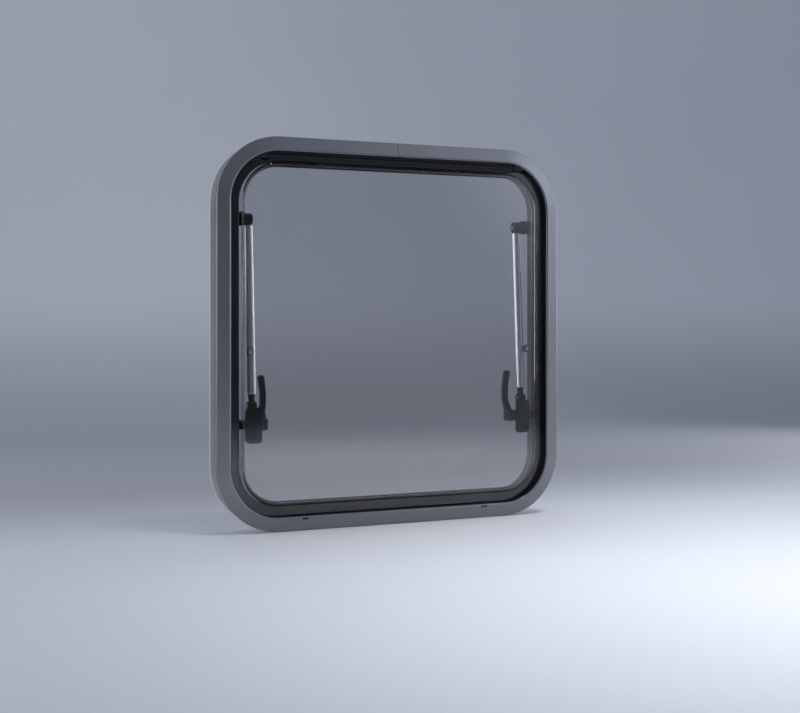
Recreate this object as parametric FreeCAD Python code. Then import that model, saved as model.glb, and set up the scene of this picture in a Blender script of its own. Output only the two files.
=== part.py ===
"""Top-hung opening window with an aluminium frame, a raised acrylic pane and telescopic stays.

Millimetres.  X runs right as seen from outside, Y runs into the room, Z is up.
The origin is the centre of the opening on the wall's outer face (Y = 0).
Ring sections are drawn as (u, y): u is the distance from the centre line to the middle of a side.
"""
import os
import math
import FreeCAD
import Part

Vec = FreeCAD.Vector
os.makedirs("parts", exist_ok=True)

# ---- driving dimensions -------------------------------------------------------------------
CORNER_CENTRE = 174.0        # every ring turns its corners about (+-174, +-174)
FLANGE_HALF = 262.0          # outer edge of the outside flange
WEB_IN, WEB_OUT = 243.0, 249.5
CHANNEL_IN, CHANNEL_OUT = 244.6, 248.0     # screw channel between the two webs
CHANNEL_MID = (CHANNEL_IN + CHANNEL_OUT) / 2
LEDGE_IN = 226.0             # inner edge of the seal ledge
LEDGE_FRONT, LEDGE_BACK = 13.0, 24.0
WALL = 38.0                  # wall thickness clamped by the frame
CLAMP_HALF_IN, CLAMP_HALF_OUT, CLAMP_BACK = 242.0, 257.0, 41.0

PANE_HALF = 241.0            # border ring of the outer sheet
PANE_FRONT = -3.5            # raised centre of the outer sheet
PANE_TOP = 230.4             # straight top edge under the hinge
PANE_BACK = 11.0             # back of the border
SHEET_BACK = 6.0             # back of the raised centre of the inner sheet

HINGE_Y, HINGE_Z = 2.0, 236.0
BEAD_R, SOCKET_IN, SOCKET_OUT = 2.4, 2.5, 3.6
RAIL_HALF = 190.0
LEAF_PLATE_HALF = 171.0      # bonded plate of the hinge leaf, on the straight part only

STAY_X = 208.4
UP_Y, UP_Z = 27.5, 152.5     # upper stay pivot, on the frame
LOW_Y, LOW_Z = 14.0, -94.0   # lower stay pivot, on the pane
TUBE_R, TUBE_BORE, ROD_R = 6.25, 5.25, 4.0

LATCH_X0, LATCH_X1 = 195.0, 219.4
LATCH_Z0, LATCH_Z1 = -144.5, -96.6
LATCH_SPLIT, LATCH_BACK = 18.0, 23.0
SHAFT_Y, SHAFT_Z, SHAFT_R = 18.0, -119.8, 4.0
HUB_R = 9.0                  # rounded end of the lever, round its shaft
KNUCKLE_R = 4.8
GAP = 0.3                    # gap between pieces that move past each other
GLUE = 0.05                  # glue line between the sheets, the band and the latch bases


# ---- helpers ------------------------------------------------------------------------------
def outline(points, place):
    """Closed wire through (a, b, radius) points, each corner rounded by its radius."""
    def pull(p, q, dist):
        length = math.hypot(q[0] - p[0], q[1] - p[1])
        return (p[0] + (q[0] - p[0]) * dist / length, p[1] + (q[1] - p[1]) * dist / length)

    stations = []
    count = len(points)
    for i, corner in enumerate(points):
        before, after = points[i - 1], points[(i + 1) % count]
        radius = corner[2] if len(corner) > 2 else 0.0
        if radius <= 0:
            stations.append([corner[:2]])
            continue
        ax, ay = before[0] - corner[0], before[1] - corner[1]
        bx, by = after[0] - corner[0], after[1] - corner[1]
        cosine = (ax * bx + ay * by) / (math.hypot(ax, ay) * math.hypot(bx, by))
        half = math.acos(max(-1.0, min(1.0, cosine))) / 2
        run = radius / math.tan(half)
        start, end = pull(corner, before, run), pull(corner, after, run)
        middle = pull(corner, ((start[0] + end[0]) / 2, (start[1] + end[1]) / 2),
                      radius / math.sin(half) - radius)
        stations.append([start, middle, end])
    edges = []
    for i, station in enumerate(stations):
        if len(station) == 3:
            edges.append(Part.Arc(*[place(*p) for p in station]).toShape())
        here, there = station[-1], stations[(i + 1) % count][0]
        if math.hypot(there[0] - here[0], there[1] - here[1]) > 1e-6:
            edges.append(Part.LineSegment(place(*here), place(*there)).toShape())
    return Part.Wire(edges)


def ring(points, holes=()):
    """Sweep a (u, y) section round the rounded square."""
    def at(z):
        return lambda u, y: Vec(u, y, z)

    def face(z):
        result = Part.Face(outline(points, at(z)))
        for hole in holes:
            result = result.cut(Part.Face(outline(hole, at(z))))
        return result.Faces[0]

    side = face(-CORNER_CENTRE).extrude(Vec(0, 0, 2 * CORNER_CENTRE))
    corner = face(CORNER_CENTRE).revolve(Vec(CORNER_CENTRE, 0, CORNER_CENTRE), Vec(0, -1, 0), 90)
    pieces = []
    for turn in range(4):
        for piece in (side, corner):
            copy = piece.copy()
            copy.rotate(Vec(0, 0, 0), Vec(0, 1, 0), 90 * turn)
            pieces.append(copy)
    return join(pieces)


def rectangle(u0, u1, y0, y1):
    return [(u0, y0), (u1, y0), (u1, y1), (u0, y1)]


def join(shapes):
    return shapes[0].multiFuse(shapes[1:]).removeSplitter()


def rounded_square(half, y0, y1):
    corner = half - CORNER_CENTRE
    corners = [(-half, -half, corner), (half, -half, corner), (half, half, corner), (-half, half, corner)]
    return Part.Face(outline(corners, lambda x, z: Vec(x, y0, z))).extrude(Vec(0, y1 - y0, 0))


def box(x0, x1, y0, y1, z0, z1):
    return Part.makeBox(x1 - x0, y1 - y0, z1 - z0, Vec(x0, y0, z0))


def rod_x(x0, x1, y, z, radius):
    return Part.makeCylinder(radius, x1 - x0, Vec(x0, y, z), Vec(1, 0, 0))


def rod_y(y0, y1, x, z, radius):
    return Part.makeCylinder(radius, y1 - y0, Vec(x, y0, z), Vec(0, 1, 0))


def rod_z(z0, z1, x, y, radius):
    return Part.makeCylinder(radius, z1 - z0, Vec(x, y, z0), Vec(0, 0, 1))


def round_box(x0, x1, y0, y1, z0, z1, radius):
    """Box with its four edges along Y rounded."""
    corners = [(x0, z0, radius), (x1, z0, radius), (x1, z1, radius), (x0, z1, radius)]
    return Part.Face(outline(corners, lambda x, z: Vec(x, y0, z))).extrude(Vec(0, y1 - y0, 0))


def mirrored(shape):
    return shape.mirror(Vec(0, 0, 0), Vec(1, 0, 0))


def both(shape):
    return Part.Compound([shape, mirrored(shape)])


def screw(x, z, y_tip, y_seat, radius, head_radius, head):
    """Pan-head screw along Y; the head stands behind y_seat and carries a cross recess."""
    shank = rod_y(y_tip + radius, y_seat, x, z, radius)
    tip = Part.makeCone(0.3, radius, radius, Vec(x, y_tip, z), Vec(0, 1, 0))
    top = y_seat + head
    cap = Part.makeCone(head_radius, head_radius * 0.7, head, Vec(x, y_seat, z), Vec(0, 1, 0))
    body = join([tip, shank, cap])
    reach, slot = head_radius * 0.5, head_radius * 0.12
    body = body.cut(box(x - reach, x + reach, top - head * 0.6, top + 1, z - slot, z + slot))
    return body.cut(box(x - slot, x + slot, top - head * 0.6, top + 1, z - reach, z + reach))


def save(name, shape):
    shape.exportStep("parts/%s.step" % name)


def save_pair(name, right_shape):
    save("right_" + name, right_shape)
    save("left_" + name, mirrored(right_shape))


# ---- outer frame: one bent aluminium extrusion, butt-jointed at the top ---------------------
frame = ring(
    [(WEB_OUT, 0), (252.0, 0), (252.0, -0.8), (FLANGE_HALF, -0.8), (FLANGE_HALF, -1.9, 0.9),
     (245.4, -4.3, 1.2), (WEB_IN, -4.0, 0.9), (WEB_IN, LEDGE_FRONT),
     (233.5, LEDGE_FRONT), (233.5, 14.2), (229.5, 14.2), (229.5, LEDGE_FRONT),
     (LEDGE_IN, LEDGE_FRONT, 0.6), (LEDGE_IN, LEDGE_BACK, 0.6), (CHANNEL_IN, LEDGE_BACK),
     (CHANNEL_IN, 0.6), (CHANNEL_OUT, 0.6), (CHANNEL_OUT, LEDGE_BACK), (WEB_OUT, LEDGE_BACK)],
    [rectangle(228.0, 243.0, 15.6, 22.4)])

RIVET_X = [50.0 * i for i in range(-3, 4)]
RIVET_Y = 7.5
BRACKET_SCREWS = [(232.0, UP_Z - 5.0), (232.0, UP_Z + 5.0)]
KEEPER_SCREWS = [(233.0, SHAFT_Z + 11.5), (233.0, SHAFT_Z - 11.5)]
DRAIN_X = 138.0

cuts = [box(0.75, 1.25, -10, 30, 200, 270)]                      # butt joint
cuts += [rod_z(242, 246, x, RIVET_Y, 1.6) for x in RIVET_X]
for sign in (-1, 1):
    for x, z in BRACKET_SCREWS:
        cuts.append(rod_y(22, 25, sign * x, z, 1.75))
    for x, z in KEEPER_SCREWS:
        cuts.append(rod_y(22, 25, sign * x, z, 1.5))
    centre = sign * DRAIN_X
    cuts.append(box(centre - 3.5, centre + 3.5, -6, 0.7, -247.3, -244.9))
    cuts += [rod_y(-6, 0.7, centre + end, -246.1, 1.2) for end in (-3.5, 3.5)]
frame = frame.cut(cuts[0].multiFuse(cuts[1:]))
save("outer_frame", frame)
save("frame_joint_plate", box(-30, 32, 20.2, 22.4, 230, 241))
save("flange_seal", ring(rectangle(252.0, 261.5, -0.8, 0)))

seal = ring([(229.5, 14.2), (229.5, 13.0), (228.4, 13.0), (228.8, 11.4, 0.9), (235.2, 11.4, 0.9),
             (235.6, 13.0), (233.5, 13.0), (233.5, 14.2)])
seal = seal.cut(box(-LEAF_PLATE_HALF - 2, LEAF_PLATE_HALF + 2, 10, 12.6, 215, 240))
save("pane_seal", seal)

liner = ring([(242.2, -3.2, 0.4), (WEB_IN, -3.2), (WEB_IN, LEDGE_FRONT), (242.2, LEDGE_FRONT)])
save("gap_liner", liner.cut(box(-205, 205, -5, 20, 200, 250)))

# ---- clamp frame and its screws on the room side --------------------------------------------
clamp = ring([(CLAMP_HALF_IN, WALL), (CLAMP_HALF_OUT, WALL), (CLAMP_HALF_OUT, 40.0, 1.0),
              (255.0, CLAMP_BACK, 0.8), (243.2, CLAMP_BACK, 0.8), (CLAMP_HALF_IN, 39.8, 0.8)])
screws = []
for turn in range(4):
    for along in (-130.0, 0.0, 130.0):
        one = screw(CHANNEL_MID, along, 11.0, CLAMP_BACK, 1.7, 3.3, 1.8)
        one.rotate(Vec(0, 0, 0), Vec(0, 1, 0), 90 * turn)
        hole = rod_y(WALL - 1, CLAMP_BACK + 1, CHANNEL_MID, along, 1.7)
        hole.rotate(Vec(0, 0, 0), Vec(0, 1, 0), 90 * turn)
        clamp = clamp.cut(hole)
        screws.append(one)
save("inner_clamp_frame", clamp)
save("clamp_screws", Part.Compound(screws))

# ---- hinge: round socket on the frame, bead and leaf on the pane ------------------------------
def from_hinge(angle, dist):
    """Point at an angle from straight down, positive towards the outside."""
    rad = math.radians(angle)
    return (HINGE_Y - dist * math.sin(rad), HINGE_Z - dist * math.cos(rad))


socket = rod_x(-RAIL_HALF, RAIL_HALF, HINGE_Y, HINGE_Z, SOCKET_OUT)
rib = box(-RAIL_HALF, RAIL_HALF, 1.0, 3.4, HINGE_Z + 3.0, WEB_IN)
foot = box(-RAIL_HALF, RAIL_HALF, -1.2, 11.0, 241.2, WEB_IN)
bore = rod_x(-RAIL_HALF - 1, RAIL_HALF + 1, HINGE_Y, HINGE_Z, SOCKET_IN)
mouth_points = [(HINGE_Y, HINGE_Z)] + [from_hinge(a, 12.0) for a in (-26, 30, 91)]
mouth = Part.Face(outline(mouth_points, lambda y, z: Vec(-RAIL_HALF - 1, y, z)))
mouth = mouth.extrude(Vec(2 * RAIL_HALF + 2, 0, 0))
rail = join([socket, rib, foot]).cut(bore).cut(mouth).common(rounded_square(WEB_IN, -10, 20))
for x in RIVET_X:
    rail = rail.cut(rod_z(240, 244, x, RIVET_Y, 1.6))
save("hinge_rail", rail)

rivets = []
for x in RIVET_X:
    head = Part.makeCone(2.2, 3.0, 1.1, Vec(x, RIVET_Y, 240.1), Vec(0, 0, 1))
    shank = rod_z(241.2, 246.6, x, RIVET_Y, 1.6)
    bulb = rod_z(CHANNEL_IN, 246.4, x, RIVET_Y, 2.4)
    rivets.append(join([head, shank, bulb]))
save("rail_rivets", Part.Compound(rivets))

cap = box(RAIL_HALF + 0.2, 204.8, -1.6, 11.0, 232.8, 243.0).common(rounded_square(WEB_IN, -10, 20))
save("hinge_end_caps", both(cap))

bead = rod_x(-RAIL_HALF + 1, RAIL_HALF - 1, HINGE_Y, HINGE_Z, BEAD_R)
neck = box(-RAIL_HALF + 1, RAIL_HALF - 1, 1.2, 2.8, 231.5, HINGE_Z)
bar = box(-RAIL_HALF + 1, RAIL_HALF - 1, 1.2, 10.9, PANE_TOP, 232.0)
plate = box(-LEAF_PLATE_HALF, LEAF_PLATE_HALF, PANE_BACK, 12.2, 224.6, 232.0)
plate = plate.fuse(box(-LEAF_PLATE_HALF, LEAF_PLATE_HALF, 10.5, 12.2, PANE_TOP, 232.0))
save("hinge_leaf", join([bead, neck, bar, plate]))

# ---- pane: raised outer sheet, black bonding band, inner sheet with a raised centre -----------
top_cut = box(-250, 250, -10, 20, PANE_TOP, 250)
outer = join([ring([(PANE_HALF, 8.0), (PANE_HALF, 5.0, 0.6), (228.9, 5.0, 0.8),
                    (227.2, PANE_FRONT, 3.5), (215.0, PANE_FRONT), (215.0, -0.5),
                    (224.6, -0.5, 1.6), (226.2, 8.0)]),
              rounded_square(215.0, PANE_FRONT, -0.5)])
save("outer_glazing", outer.cut(top_cut))

band = ring(rectangle(226.8, 240.4, 8.0 + GLUE, 8.5 - GLUE))
save("bond_band", band.cut(top_cut))

inner = join([ring([(240.4, 8.5), (225.4, 8.5, 0.6), (223.4, 3.5, 1.0), (212.0, 3.5),
                    (212.0, SHEET_BACK), (221.9, SHEET_BACK, 0.5), (223.6, PANE_BACK, 1.0),
                    (240.4, PANE_BACK)]),
              rounded_square(212.0, 3.5, SHEET_BACK)]).cut(top_cut)
LATCH_MID = (LATCH_X0 + LATCH_X1) / 2
BASE_SCREW_Z = (-104.0, -137.0)
VENT_X, VENT_Z = 213.2, -23.0
for sign in (-1, 1):
    inner = inner.cut(rod_y(2, 8, sign * VENT_X, VENT_Z, 3.0))
    for z in BASE_SCREW_Z:
        inner = inner.cut(rod_y(2, 8, sign * LATCH_MID, z, 1.5))
save("inner_glazing", inner)

vent = join([rod_y(2.7, SHEET_BACK, VENT_X, VENT_Z, 3.0), rod_y(2.7, 3.5, VENT_X, VENT_Z, 3.7),
             Part.makeCone(5.3, 4.2, 1.5, Vec(VENT_X, SHEET_BACK, VENT_Z), Vec(0, 1, 0))])
save("vent_plugs", both(vent))

# ---- stays --------------------------------------------------------------------------------
LOW = Vec(STAY_X, LOW_Y, LOW_Z)
UP = Vec(STAY_X, UP_Y, UP_Z)
along = UP.sub(LOW)
STAY_LENGTH = along.Length
along.normalize()


def on_stay(dist):
    return LOW.add(Vec(along.x * dist, along.y * dist, along.z * dist))


def stay_cylinder(start, end, radius):
    return Part.makeCylinder(radius, end - start, on_stay(start), along)


EYE_X0, EYE_X1 = 205.1, 211.7
stem = stay_cylinder(1.0, 6.5, 4.3).common(box(EYE_X0, EYE_X1, 0, 40, -120, -60))
eye = join([rod_x(EYE_X0, EYE_X1, LOW_Y, LOW_Z, KNUCKLE_R), stem, stay_cylinder(5.6, 12.0, 4.3),
            Part.makeCone(4.3, 5.3, 2.4, on_stay(12.0), along)])
eye = eye.cut(rod_x(EYE_X0 - 1, EYE_X1 + 1, LOW_Y, LOW_Z, 2.05)).cut(stay_cylinder(8.0, 16.0, ROD_R))
save_pair("rod_eye", eye)
save_pair("stay_rod", stay_cylinder(8.0, 190.0, ROD_R))
piston = stay_cylinder(186.0, 198.0, 5.15)
for start in (188.6, 193.4):
    groove = stay_cylinder(start, start + 1.8, 6.0).cut(stay_cylinder(start - 1, start + 3, 4.6))
    piston = piston.cut(groove)
save_pair("rod_piston", piston.cut(stay_cylinder(180.0, 190.0, ROD_R)))

TUBE_START, TUBE_END = 15.0, STAY_LENGTH - 8.4
tube = stay_cylinder(TUBE_START, TUBE_END, TUBE_R).cut(stay_cylinder(10.0, 240.0, TUBE_BORE))
save_pair("stay_tube", tube)
bush = stay_cylinder(TUBE_START, TUBE_START + 12.0, TUBE_BORE)
save_pair("tube_bush", bush.cut(stay_cylinder(10.0, 30.0, ROD_R + 0.08)))

BARREL_R = 8.2
barrel = rod_x(203.3, 216.8, UP_Y, UP_Z, BARREL_R)
barrel = barrel.makeFillet(2.6, [e for e in barrel.Edges if abs(e.CenterOfMass.x - 203.3) < 0.01])
tube_eye = join([barrel, stay_cylinder(STAY_LENGTH - 24.0, STAY_LENGTH - 4.0, TUBE_BORE)])
save_pair("tube_eye", tube_eye.cut(rod_x(200, 218, UP_Y, UP_Z, 2.5)))
save_pair("upper_pin", join([rod_x(202.9, 217.0, UP_Y, UP_Z, 2.5),
                             rod_x(202.3, 203.3, UP_Y, UP_Z, 3.2)]))

# ---- stay brackets and latch keepers on the frame -------------------------------------------
BRACKET_Z0, BRACKET_Z1 = UP_Z - 8.9, UP_Z + 9.8
lug_points = [(20.5, BRACKET_Z0, 1.5), (36.0, BRACKET_Z0, 8.5), (36.0, BRACKET_Z1, 8.5),
              (20.5, BRACKET_Z1, 1.5)]
lug = Part.Face(outline(lug_points, lambda y, z: Vec(217.3, y, z))).extrude(Vec(4.2, 0, 0))
bracket = join([lug, round_box(219.0, 240.0, LEDGE_BACK, 27.0, BRACKET_Z0, BRACKET_Z1, 1.5),
                rod_x(221.5, 223.3, UP_Y + 1.0, UP_Z, 4.6)])
bracket = bracket.cut(box(216, LEDGE_IN, 10, LEDGE_BACK, 0, 10))
for x, z in BRACKET_SCREWS:
    bracket = bracket.cut(rod_y(20, 30, x, z, 1.75))
save_pair("stay_bracket", bracket)
save("bracket_screws", Part.Compound([both(screw(x, z, 17.5, 27.0, 1.75, 3.1, 1.9))
                                      for x, z in BRACKET_SCREWS]))

keeper = round_box(LEDGE_IN, 238.5, LEDGE_BACK, 26.4, SHAFT_Z - 17.5, SHAFT_Z + 17.5, 2.0)
keeper = join([keeper, round_box(LEDGE_IN, 229.0, 26.4, 29.5, SHAFT_Z - 8.5, SHAFT_Z + 8.5, 1.0)])
for x, z in KEEPER_SCREWS:
    keeper = keeper.cut(rod_y(20, 30, x, z, 1.5))
save_pair("keeper", keeper)
save("keeper_screws", Part.Compound([both(screw(x, z, 17.5, 26.4, 1.5, 2.8, 1.7))
                                     for x, z in KEEPER_SCREWS]))

# ---- latch housing: tapered towards the room, split level with the lever shaft ---------------
BASE_Y = SHEET_BACK + GLUE
BOSS_X = 196.0               # inboard end of the boss round the lever shaft
plan = [(LATCH_X0, BASE_Y, 1.2), (206.7, LATCH_BACK, 4.5), (212.6, LATCH_BACK, 4.5),
        (LATCH_X1, 10.0, 4.0), (LATCH_X1, BASE_Y, 1.4)]
profile = [(BASE_Y, LATCH_Z0, 1.6), (BASE_Y, LATCH_Z1, 1.6), (12.0, LATCH_Z1, 4.0),
           (LATCH_BACK, LATCH_Z1 - 6, 5.0), (LATCH_BACK, LATCH_Z0 + 6, 5.0), (12.0, LATCH_Z0, 4.0)]
housing = round_box(LATCH_X0, LATCH_X1, 0, 40, LATCH_Z0, LATCH_Z1, 8.5)
housing = housing.common(Part.Face(outline(plan, lambda x, y: Vec(x, y, -160))).extrude(Vec(0, 0, 80)))
housing = housing.common(Part.Face(outline(profile, lambda y, z: Vec(180, y, z))).extrude(Vec(60, 0, 0)))
housing = housing.fuse(rod_x(BOSS_X, 207.0, SHAFT_Y, SHAFT_Z, 8.0))
housing = housing.fuse(rod_x(206.0, LATCH_X1, SHAFT_Y, SHAFT_Z, 6.2)).removeSplitter()
shaft_bore = rod_x(LATCH_X0 - 1, LATCH_X1 + 1, SHAFT_Y, SHAFT_Z, SHAFT_R + 0.1)
housing = housing.cut(shaft_bore)
COVER_SCREW_X, COVER_SCREW_Z, COVER_SEAT = 209.6, (-108.0, -134.0), 21.4

base = housing.common(box(180, 230, 0, LATCH_SPLIT, -160, -80))
for x0, x1 in ((EYE_X0 - 2.5, EYE_X0 - GAP), (EYE_X1 + GAP, EYE_X1 + 2.7)):
    ear = rod_x(x0, x1, LOW_Y, LOW_Z, KNUCKLE_R)
    base = base.fuse(ear.fuse(box(x0, x1, LOW_Y - KNUCKLE_R, LOW_Y + 1, LOW_Z - 12, LOW_Z)))
base = base.removeSplitter()
base = base.cut(rod_x(EYE_X0 - GAP, EYE_X1 + GAP, LOW_Y, LOW_Z, KNUCKLE_R + 0.4))
base = base.cut(rod_x(190, 225, LOW_Y, LOW_Z, 2.0))
for z in BASE_SCREW_Z:
    base = base.cut(rod_y(5, 11.5, LATCH_MID, z, 1.5))
for z in COVER_SCREW_Z:
    base = base.cut(rod_y(12.9, 19, COVER_SCREW_X, z, 1.3))
save_pair("latch_base", base)

cover = housing.common(box(180, 230, LATCH_SPLIT, 40, -160, -80))
cover = cover.cut(rod_x(190, 225, LOW_Y, LOW_Z, KNUCKLE_R + 0.4))
for z in COVER_SCREW_Z:
    cover = cover.cut(rod_y(17, 30, COVER_SCREW_X, z, 1.3))
    cover = cover.cut(rod_y(COVER_SEAT, 30, COVER_SCREW_X, z, 2.7))
save_pair("latch_cover", cover)
save("cover_screws", Part.Compound([both(screw(COVER_SCREW_X, z, 12.9, COVER_SEAT, 1.3, 2.5, 1.5))
                                    for z in COVER_SCREW_Z]))

sheet_screws = []
for z in BASE_SCREW_Z:
    head = Part.makeCone(2.1, 3.0, 1.2, Vec(LATCH_MID, 2.3, z), Vec(0, 1, 0))
    sheet_screws.append(both(join([head, rod_y(3.5, 11.5, LATCH_MID, z, 1.5)])))
save("housing_screws", Part.Compound(sheet_screws))
save("stay_pivot_pins", both(rod_x(EYE_X0 - 2.8, EYE_X1 + 3.0, LOW_Y, LOW_Z, 2.0)))

# ---- latch lever, shaft and tongue -----------------------------------------------------------
HUB_X0, HUB_X1, HUB_DOME = 184.3, BOSS_X - GAP, 7.5


def hub_outline(centre, place):
    low, high = centre - HUB_R, centre + HUB_R
    return Part.Face(outline([(HUB_X0, low, HUB_DOME), (HUB_X1, low), (HUB_X1, high),
                              (HUB_X0, high, HUB_DOME)], place))


hub = rod_x(HUB_X0, HUB_X1, SHAFT_Y, SHAFT_Z, HUB_R)
hub = hub.common(hub_outline(SHAFT_Z, lambda x, z: Vec(x, 0, z)).extrude(Vec(0, 40, 0)))
hub = hub.common(hub_outline(SHAFT_Y, lambda x, y: Vec(x, y, -140)).extrude(Vec(0, 0, 60)))
TIP_Z = -54.8
front_view = [(194.6, -123.5), (187.8, -123.5, 3.0), (186.9, -108.0, 30.0), (184.3, -93.0, 40.0),
              (184.7, -78.0, 40.0), (187.4, TIP_Z, 4.2), (196.4, TIP_Z, 4.2), (192.6, -76.0, 60.0),
              (192.5, -93.0, 30.0), (194.9, -108.0, 14.0)]
side_view = [(22.2, TIP_Z, 2.3), (27.2, TIP_Z, 2.3), (27.8, -103.0, 16.0), (23.0, -123.0),
             (14.5, -124.0), (14.5, -113.5), (22.6, -101.0, 8.0)]
front = Part.Face(outline(front_view, lambda x, z: Vec(x, 0, z))).extrude(Vec(0, 50, 0))
side = Part.Face(outline(side_view, lambda y, z: Vec(170, y, z))).extrude(Vec(40, 0, 0))
lever = join([front.common(side), hub])
shaft_socket = rod_x(187.0, 200.0, SHAFT_Y, SHAFT_Z, SHAFT_R)
pin_hole = rod_z(SHAFT_Z - 12, SHAFT_Z + 12, 191.5, SHAFT_Y, 1.25)
save_pair("lever", lever.cut(shaft_socket).cut(pin_hole))
save_pair("lever_pin", rod_z(SHAFT_Z - 8.2, SHAFT_Z + 7.4, 191.5, SHAFT_Y, 1.25))
TONGUE_X0, TONGUE_X1 = LATCH_X1 + GAP, LEDGE_IN - 0.5
shaft = join([rod_x(187.0, TONGUE_X0, SHAFT_Y, SHAFT_Z, SHAFT_R),
              rod_x(TONGUE_X0 - 1, 223.0, SHAFT_Y, SHAFT_Z, 3.5)]).cut(pin_hole)
save_pair("lever_shaft", shaft)
nose_points = [(SHAFT_Y, SHAFT_Z - 6.5), (28.5, SHAFT_Z - 6.5, 2.0), (28.5, SHAFT_Z + 6.5, 2.0),
               (SHAFT_Y, SHAFT_Z + 6.5)]
nose = Part.Face(outline(nose_points, lambda y, z: Vec(TONGUE_X0, y, z)))
tongue = join([rod_x(TONGUE_X0, TONGUE_X1, SHAFT_Y, SHAFT_Z, 6.5),
               nose.extrude(Vec(TONGUE_X1 - TONGUE_X0, 0, 0))])
save_pair("tongue", tongue.cut(rod_x(TONGUE_X0 - 1, 223.0, SHAFT_Y, SHAFT_Z, 3.5)))
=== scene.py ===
"""Looks of the top-hung opening window: materials, soft studio light and camera. Metres, row frame."""
import math

import bpy
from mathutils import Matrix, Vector

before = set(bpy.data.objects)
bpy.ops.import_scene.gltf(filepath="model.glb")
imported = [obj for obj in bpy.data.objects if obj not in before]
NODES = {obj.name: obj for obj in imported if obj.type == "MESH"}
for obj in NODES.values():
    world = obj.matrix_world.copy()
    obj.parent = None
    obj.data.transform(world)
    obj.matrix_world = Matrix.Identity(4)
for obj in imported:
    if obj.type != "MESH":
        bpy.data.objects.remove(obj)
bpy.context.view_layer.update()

# ---- camera -------------------------------------------------------------------------------
CAMERA_PLACE = (-0.912, -1.789, 0.024)
CAMERA_TURN = 27.16          # degrees to the right of +Y
CAMERA_LENS = 65.5           # mm on a 36 mm sensor
CAMERA_SHIFT = -0.0507


# ---- studio: the floor curves up into a backdrop, and fades out in front of the window ------
FLOOR_Z = -0.2625            # just under the flange
FLOOR_FRONT = -2.5
FADE_START, FADE_END = -0.9, -2.4
BACK_Y = 2.6                 # the upright part of the backdrop
SWEEP_RADIUS = 1.2
SWEEP_STEPS = 12
STAGE_SIDE, STAGE_TOP = 12.0, 5.0
PAINTED_SHADE_FROM, PAINTED_SHADE_FULL = -0.1, 0.6     # Y over which the floor behind gets its painted shade, a deeper colour standing in for the lesser light there
PAINTED_SHADE_TOP = 0.12                        # height at which the painted shade on the backdrop ends and the pale colour is back
# colour of the painted shade on the floor behind the window
PAINTED_SHADE_COLOUR = (0.47, 0.49, 0.53, 1)
SKY_COLOUR = (0.80, 0.85, 1.0, 1)
AMBIENT = 0.34
OPEN_SPREAD = 170            # degrees; a light at least this wide needs no correction

LEVER_BEVEL, FITTING_BEVEL = 0.0014, 0.0006
BEVEL_ANGLE = 40             # degrees; softer edges are left as they are

ACRYLIC_IOR = 1.49
NOISE_LOW, NOISE_HIGH = 0.3, 0.7         # the range that a noise texture mostly keeps to
MIX_A, MIX_B, MIX_RESULT = 6, 7, 2       # colour sockets of the Mix node, whose names repeat


# ---- material helpers ----------------------------------------------------------------------
def new_material(name):
    """Material with nodes, its node tree and its Principled shader."""
    mat = bpy.data.materials.new(name)
    mat.use_nodes = True
    tree = mat.node_tree
    shader = tree.nodes["Principled BSDF"]
    return mat, tree, shader


def noise(tree, scale, detail):
    """Noise factor in object coordinates, in metres."""
    coords = tree.nodes.new("ShaderNodeTexCoord")
    texture = tree.nodes.new("ShaderNodeTexNoise")
    texture.inputs["Scale"].default_value = scale
    texture.inputs["Detail"].default_value = detail
    tree.links.new(coords.outputs["Object"], texture.inputs["Vector"])
    return texture.outputs["Fac"]


def vary(tree, factor, low, high, socket):
    """Feed a socket with a value that swings between low and high."""
    ramp = tree.nodes.new("ShaderNodeMapRange")
    ramp.inputs["From Min"].default_value = NOISE_LOW
    ramp.inputs["From Max"].default_value = NOISE_HIGH
    ramp.inputs["To Min"].default_value = low
    ramp.inputs["To Max"].default_value = high
    tree.links.new(factor, ramp.inputs["Value"])
    tree.links.new(ramp.outputs["Result"], socket)


def tint(tree, factor, dark, light, socket):
    """Feed a colour socket with a mix between two colours."""
    ramp = tree.nodes.new("ShaderNodeValToRGB")
    ramp.color_ramp.elements[0].position = NOISE_LOW
    ramp.color_ramp.elements[1].position = NOISE_HIGH
    ramp.color_ramp.elements[0].color = (*dark, 1)
    ramp.color_ramp.elements[1].color = (*light, 1)
    tree.links.new(factor, ramp.inputs["Fac"])
    tree.links.new(ramp.outputs["Color"], socket)


def relief(tree, factor, distance, strength, shader):
    """Shallow bump, its depth in metres."""
    bump = tree.nodes.new("ShaderNodeBump")
    bump.inputs["Distance"].default_value = distance
    bump.inputs["Strength"].default_value = strength
    tree.links.new(factor, bump.inputs["Height"])
    tree.links.new(bump.outputs["Normal"], shader.inputs["Normal"])


def surface(name, dark, light, rough, metallic=0.0, grain=600.0, bump=0.00005, strength=0.3,
            cloud=9.0, specular=0.5):
    """Opaque material: slow colour drift, fine grain in the roughness and a shallow relief."""
    mat, tree, shader = new_material(name)
    shader.inputs["Metallic"].default_value = metallic
    shader.inputs["Specular IOR Level"].default_value = specular
    tint(tree, noise(tree, cloud, 4.0), dark, light, shader.inputs["Base Color"])
    fine = noise(tree, grain, 2.0)
    vary(tree, fine, rough[0], rough[1], shader.inputs["Roughness"])
    relief(tree, fine, bump, strength, shader)
    return mat


def acrylic(name, colour):
    """Clear sheet with a very slight drift in its colour."""
    mat, tree, shader = new_material(name)
    shader.inputs["Transmission Weight"].default_value = 1.0
    shader.inputs["IOR"].default_value = ACRYLIC_IOR
    shader.inputs["Roughness"].default_value = 0.0
    darker = [channel * 0.985 for channel in colour]
    tint(tree, noise(tree, 3.0, 1.0), darker, colour, shader.inputs["Base Color"])
    return mat


def paint(nodes, mat):
    """Give every named node this one material."""
    for name in nodes:
        mesh = NODES[name].data
        mesh.materials.clear()
        mesh.materials.append(mat)


def pair(*names):
    """Node names of the left and right copies."""
    return [side + "_" + name for name in names for side in ("left", "right")]


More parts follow.
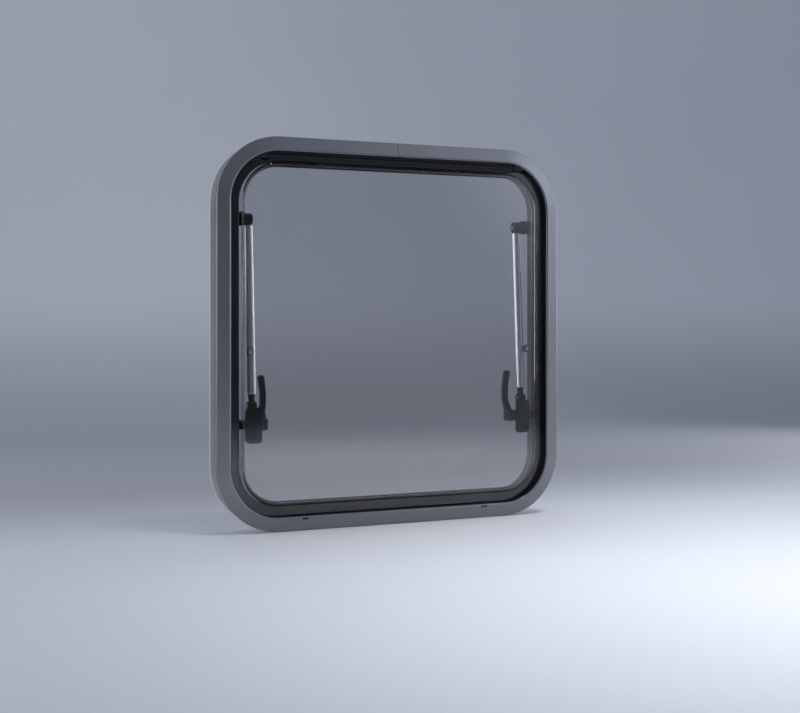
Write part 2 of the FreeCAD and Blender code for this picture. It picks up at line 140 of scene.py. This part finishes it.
# ---- materials ------------------------------------------------------------------------------
anodised = surface("anodised_grey", (0.225, 0.233, 0.248), (0.24, 0.248, 0.264), (0.27, 0.33),
                   metallic=1.0, grain=1400.0, bump=0.000008)
white_paint = surface("white_paint", (0.78, 0.78, 0.77), (0.84, 0.84, 0.83), (0.35, 0.45), grain=900.0)
zinc = surface("zinc_steel", (0.55, 0.56, 0.56), (0.66, 0.66, 0.65), (0.22, 0.38), metallic=1.0)
rivet = surface("rivet_aluminium", (0.62, 0.63, 0.65), (0.7, 0.7, 0.72), (0.3, 0.42), metallic=1.0)
rubber = surface("black_rubber", (0.006, 0.006, 0.008), (0.011, 0.011, 0.014), (0.6, 0.8),
                 grain=1100.0, strength=0.5, specular=0.25)
black = surface("black_plastic", (0.006, 0.006, 0.010), (0.009, 0.009, 0.014), (0.34, 0.46),
                grain=1500.0, specular=0.3)
fitting = surface("black_fitting", (0.008, 0.008, 0.017), (0.012, 0.012, 0.023), (0.36, 0.5),
                  grain=1300.0, strength=0.4, specular=0.3)
latch = surface("latch_plastic", (0.007, 0.007, 0.015), (0.011, 0.011, 0.021), (0.34, 0.48),
                grain=1300.0, strength=0.4, specular=0.3)
lever_mat = surface("lever_plastic", (0.010, 0.010, 0.020), (0.016, 0.016, 0.028), (0.32, 0.44),
                    grain=1200.0, strength=0.4)
dark_screw = surface("black_screw", (0.02, 0.02, 0.024), (0.035, 0.035, 0.04), (0.3, 0.45), metallic=0.6)
band = surface("black_band", (0.010, 0.010, 0.017), (0.014, 0.014, 0.023), (0.4, 0.55), grain=400.0)
tube_mat = surface("tube_aluminium", (0.70, 0.72, 0.77), (0.76, 0.78, 0.83), (0.34, 0.38),
                   metallic=1.0, grain=900.0, bump=0.000004)
rod_mat = surface("rod_aluminium", (0.72, 0.73, 0.75), (0.78, 0.79, 0.80), (0.12, 0.16),
                  metallic=1.0, grain=900.0, bump=0.000004)
pin_mat = surface("pin_steel", (0.62, 0.64, 0.64), (0.72, 0.73, 0.73), (0.18, 0.3), metallic=1.0)
vent_mat = surface("vent_plastic", (0.55, 0.57, 0.62), (0.66, 0.68, 0.72), (0.2, 0.32), grain=500.0)
smoked = acrylic("smoked_acrylic", (0.70, 0.705, 0.71))
clear = acrylic("clear_acrylic", (0.95, 0.955, 0.96))

paint(["outer_frame"], anodised)
paint(["inner_clamp_frame"], white_paint)
paint(["frame_joint_plate", "clamp_screws", "bracket_screws", "keeper_screws", "cover_screws",
       "stay_pivot_pins"] + pair("lever_pin", "lever_shaft"), zinc)
paint(["rail_rivets"], rivet)
# rubber on the gap liner is painted shade: a black lining of the frame's inner web that keeps the deep
# gap and the lip's inner edge dark
paint(["flange_seal", "pane_seal", "gap_liner"], rubber)
paint(["hinge_rail", "hinge_end_caps", "hinge_leaf"], black)
paint(pair("stay_bracket", "keeper", "rod_eye", "rod_piston", "tube_bush", "tube_eye"), fitting)
paint(pair("latch_base", "latch_cover"), latch)
paint(pair("lever", "tongue"), lever_mat)
paint(["housing_screws"], dark_screw)
paint(["bond_band"], band)
paint(pair("stay_tube"), tube_mat)
paint(pair("stay_rod"), rod_mat)
paint(pair("upper_pin"), pin_mat)
paint(["vent_plugs"], vent_mat)
paint(["outer_glazing"], smoked)
paint(["inner_glazing"], clear)


# ---- soft moulded edges on the plastic fittings ----------------------------------------------
def soften(names, width):
    """Small bevel on the sharp edges, its width in metres."""
    for name in names:
        modifier = NODES[name].modifiers.new("edge", "BEVEL")
        modifier.width = width
        modifier.segments = 2
        modifier.limit_method = "ANGLE"
        modifier.angle_limit = math.radians(BEVEL_ANGLE)


soften(pair("lever"), LEVER_BEVEL)
soften(pair("latch_base", "latch_cover", "stay_bracket"), FITTING_BEVEL)

# ---- floor, backdrop, light ------------------------------------------------------------------
def between(tree, value, start, end, full=1.0):
    """Smooth step from 0 at start to the full value at end."""
    step = tree.nodes.new("ShaderNodeMapRange")
    step.interpolation_type = "SMOOTHSTEP"
    step.inputs["From Min"].default_value = start
    step.inputs["From Max"].default_value = end
    step.inputs["To Max"].default_value = full
    tree.links.new(value, step.inputs["Value"])
    return step.outputs["Result"]


def studio_floor():
    """Pale matt floor with painted shade, a deeper colour behind the window, that fades out in front of
    it.
    """
    mat = surface("stage_pale", (0.70, 0.73, 0.78), (0.73, 0.76, 0.81), (0.75, 0.85),
                  grain=60.0, strength=0.05, cloud=1.5, specular=0.2)
    tree = mat.node_tree
    shader = tree.nodes["Principled BSDF"]
    coords = tree.nodes.new("ShaderNodeTexCoord")
    split = tree.nodes.new("ShaderNodeSeparateXYZ")
    tree.links.new(coords.outputs["Object"], split.inputs["Vector"])
    across, up = split.outputs["Y"], split.outputs["Z"]
    tree.links.new(between(tree, across, FADE_END, FADE_START), shader.inputs["Alpha"])

    # painted shade: the floor behind the window and the foot of the backdrop get a deeper colour where
    # less light falls
    both = tree.nodes.new("ShaderNodeMath")
    both.operation = "MULTIPLY"
    tree.links.new(between(tree, across, PAINTED_SHADE_FROM, PAINTED_SHADE_FULL), both.inputs[0])
    tree.links.new(between(tree, up, PAINTED_SHADE_TOP, FLOOR_Z), both.inputs[1])
    blend = tree.nodes.new("ShaderNodeMix")
    blend.data_type = "RGBA"
    tree.links.new(both.outputs["Value"], blend.inputs["Factor"])
    tree.links.new(shader.inputs["Base Color"].links[0].from_socket, blend.inputs[MIX_A])
    blend.inputs[MIX_B].default_value = PAINTED_SHADE_COLOUR
    tree.links.new(blend.outputs[MIX_RESULT], shader.inputs["Base Color"])
    return mat


def sweep_stage():
    """Floor that curves up into a backdrop behind the window."""
    line = [(FLOOR_FRONT, FLOOR_Z), (BACK_Y - SWEEP_RADIUS, FLOOR_Z)]
    for step in range(1, SWEEP_STEPS + 1):
        angle = math.radians(90 * step / SWEEP_STEPS)
        line.append((BACK_Y - SWEEP_RADIUS + SWEEP_RADIUS * math.sin(angle),
                     FLOOR_Z + SWEEP_RADIUS * (1 - math.cos(angle))))
    line.append((BACK_Y, STAGE_TOP))
    verts = [(x, y, z) for y, z in line for x in (-STAGE_SIDE, STAGE_SIDE)]
    faces = [(2 * i, 2 * i + 1, 2 * i + 3, 2 * i + 2) for i in range(len(line) - 1)]
    mesh = bpy.data.meshes.new("stage")
    mesh.from_pydata(verts, [], faces)
    mesh.polygons.foreach_set("use_smooth", [True] * len(faces))
    stage = bpy.data.objects.new("stage", mesh)
    bpy.context.scene.collection.objects.link(stage)
    mesh.materials.append(studio_floor())


def area(name, place, target, size, radiance, colour=(1, 1, 1), spread=180):
    """Rectangular soft light, its strength given as the brightness of its face seen head on."""
    half = math.radians(spread) / 2
    gain = math.tan(half) / (math.tan(half) - half) if spread < OPEN_SPREAD else 1.0
    light = bpy.data.lights.new(name, "AREA")
    light.shape = "RECTANGLE"
    light.size, light.size_y = size
    light.energy = radiance / gain * size[0] * size[1] * math.pi
    light.color = colour
    light.spread = math.radians(spread)
    lamp = bpy.data.objects.new(name, light)
    lamp.location = place
    lamp.rotation_euler = (Vector(target) - Vector(place)).to_track_quat("-Z", "Y").to_euler()
    bpy.context.scene.collection.objects.link(lamp)


def around(azimuth, distance, height):
    """Place at an azimuth from -Y, positive to the right of someone facing the window."""
    turn = math.radians(azimuth)
    return (distance * math.sin(turn), -distance * math.cos(turn), height)


sweep_stage()
area("side_right", around(92, 1.9, 0.25), (0, 0, 0.15), (1.7, 0.8), 3.4, (0.97, 0.98, 1.0), spread=150)
area("side_left", around(-100, 1.7, 0.25), (0, 0, 0.15), (1.7, 0.8), 3.2, (0.97, 0.98, 1.0), spread=150)
area("front_top", (0.5, -1.1, 2.8), (0.28, -0.72, -0.26), (0.6, 0.6), 105.0, spread=36)
area("room_top", (0.3, 1.2, 2.6), (0.3, 1.6, 0), (1.6, 1.0), 1.0)


def direction(azimuth, height):
    """Unit vector at an azimuth from -Y and a height angle, both in degrees."""
    turn, rise = math.radians(azimuth), math.radians(height)
    return (math.sin(turn) * math.cos(rise), -math.cos(turn) * math.cos(rise), math.sin(rise))


def soft_sky(ambient, glows):
    """Even pale light with a few broad soft glows, each at a place in the sky."""
    world = bpy.data.worlds.new("studio")
    world.use_nodes = True
    tree = world.node_tree
    background = tree.nodes["Background"]
    background.inputs["Color"].default_value = SKY_COLOUR
    coords = tree.nodes.new("ShaderNodeTexCoord")
    total = None
    for azimuth, height, inner, outer, peak in glows:
        near = tree.nodes.new("ShaderNodeVectorMath")
        near.operation = "DOT_PRODUCT"
        near.inputs[1].default_value = direction(azimuth, height)
        tree.links.new(coords.outputs["Generated"], near.inputs[0])
        glow = between(tree, near.outputs["Value"], math.cos(math.radians(outer)),
                       math.cos(math.radians(inner)), peak)
        add = tree.nodes.new("ShaderNodeMath")
        add.operation = "ADD"
        tree.links.new(glow, add.inputs[0])
        if total is None:
            add.inputs[1].default_value = ambient
        else:
            tree.links.new(total, add.inputs[1])
        total = add.outputs["Value"]
    tree.links.new(total, background.inputs["Strength"])
    bpy.context.scene.world = world


# each glow: azimuth, height, full within, gone beyond (all in degrees) and brightness; the first
# takes light away, so that the flat pane reflects something dark on its left
soft_sky(AMBIENT, [(17, 0, 2, 17, -0.25), (43, 12, 4, 16, 1.9)])
bpy.context.scene.view_settings.view_transform = "Standard"

camera_data = bpy.data.cameras.new("camera")
camera_data.sensor_width = 36.0
camera_data.lens = CAMERA_LENS
camera_data.shift_y = CAMERA_SHIFT
camera = bpy.data.objects.new("camera", camera_data)
camera.location = CAMERA_PLACE
camera.rotation_euler = (math.radians(90), 0, math.radians(-CAMERA_TURN))
bpy.context.scene.collection.objects.link(camera)
bpy.context.scene.camera = camera
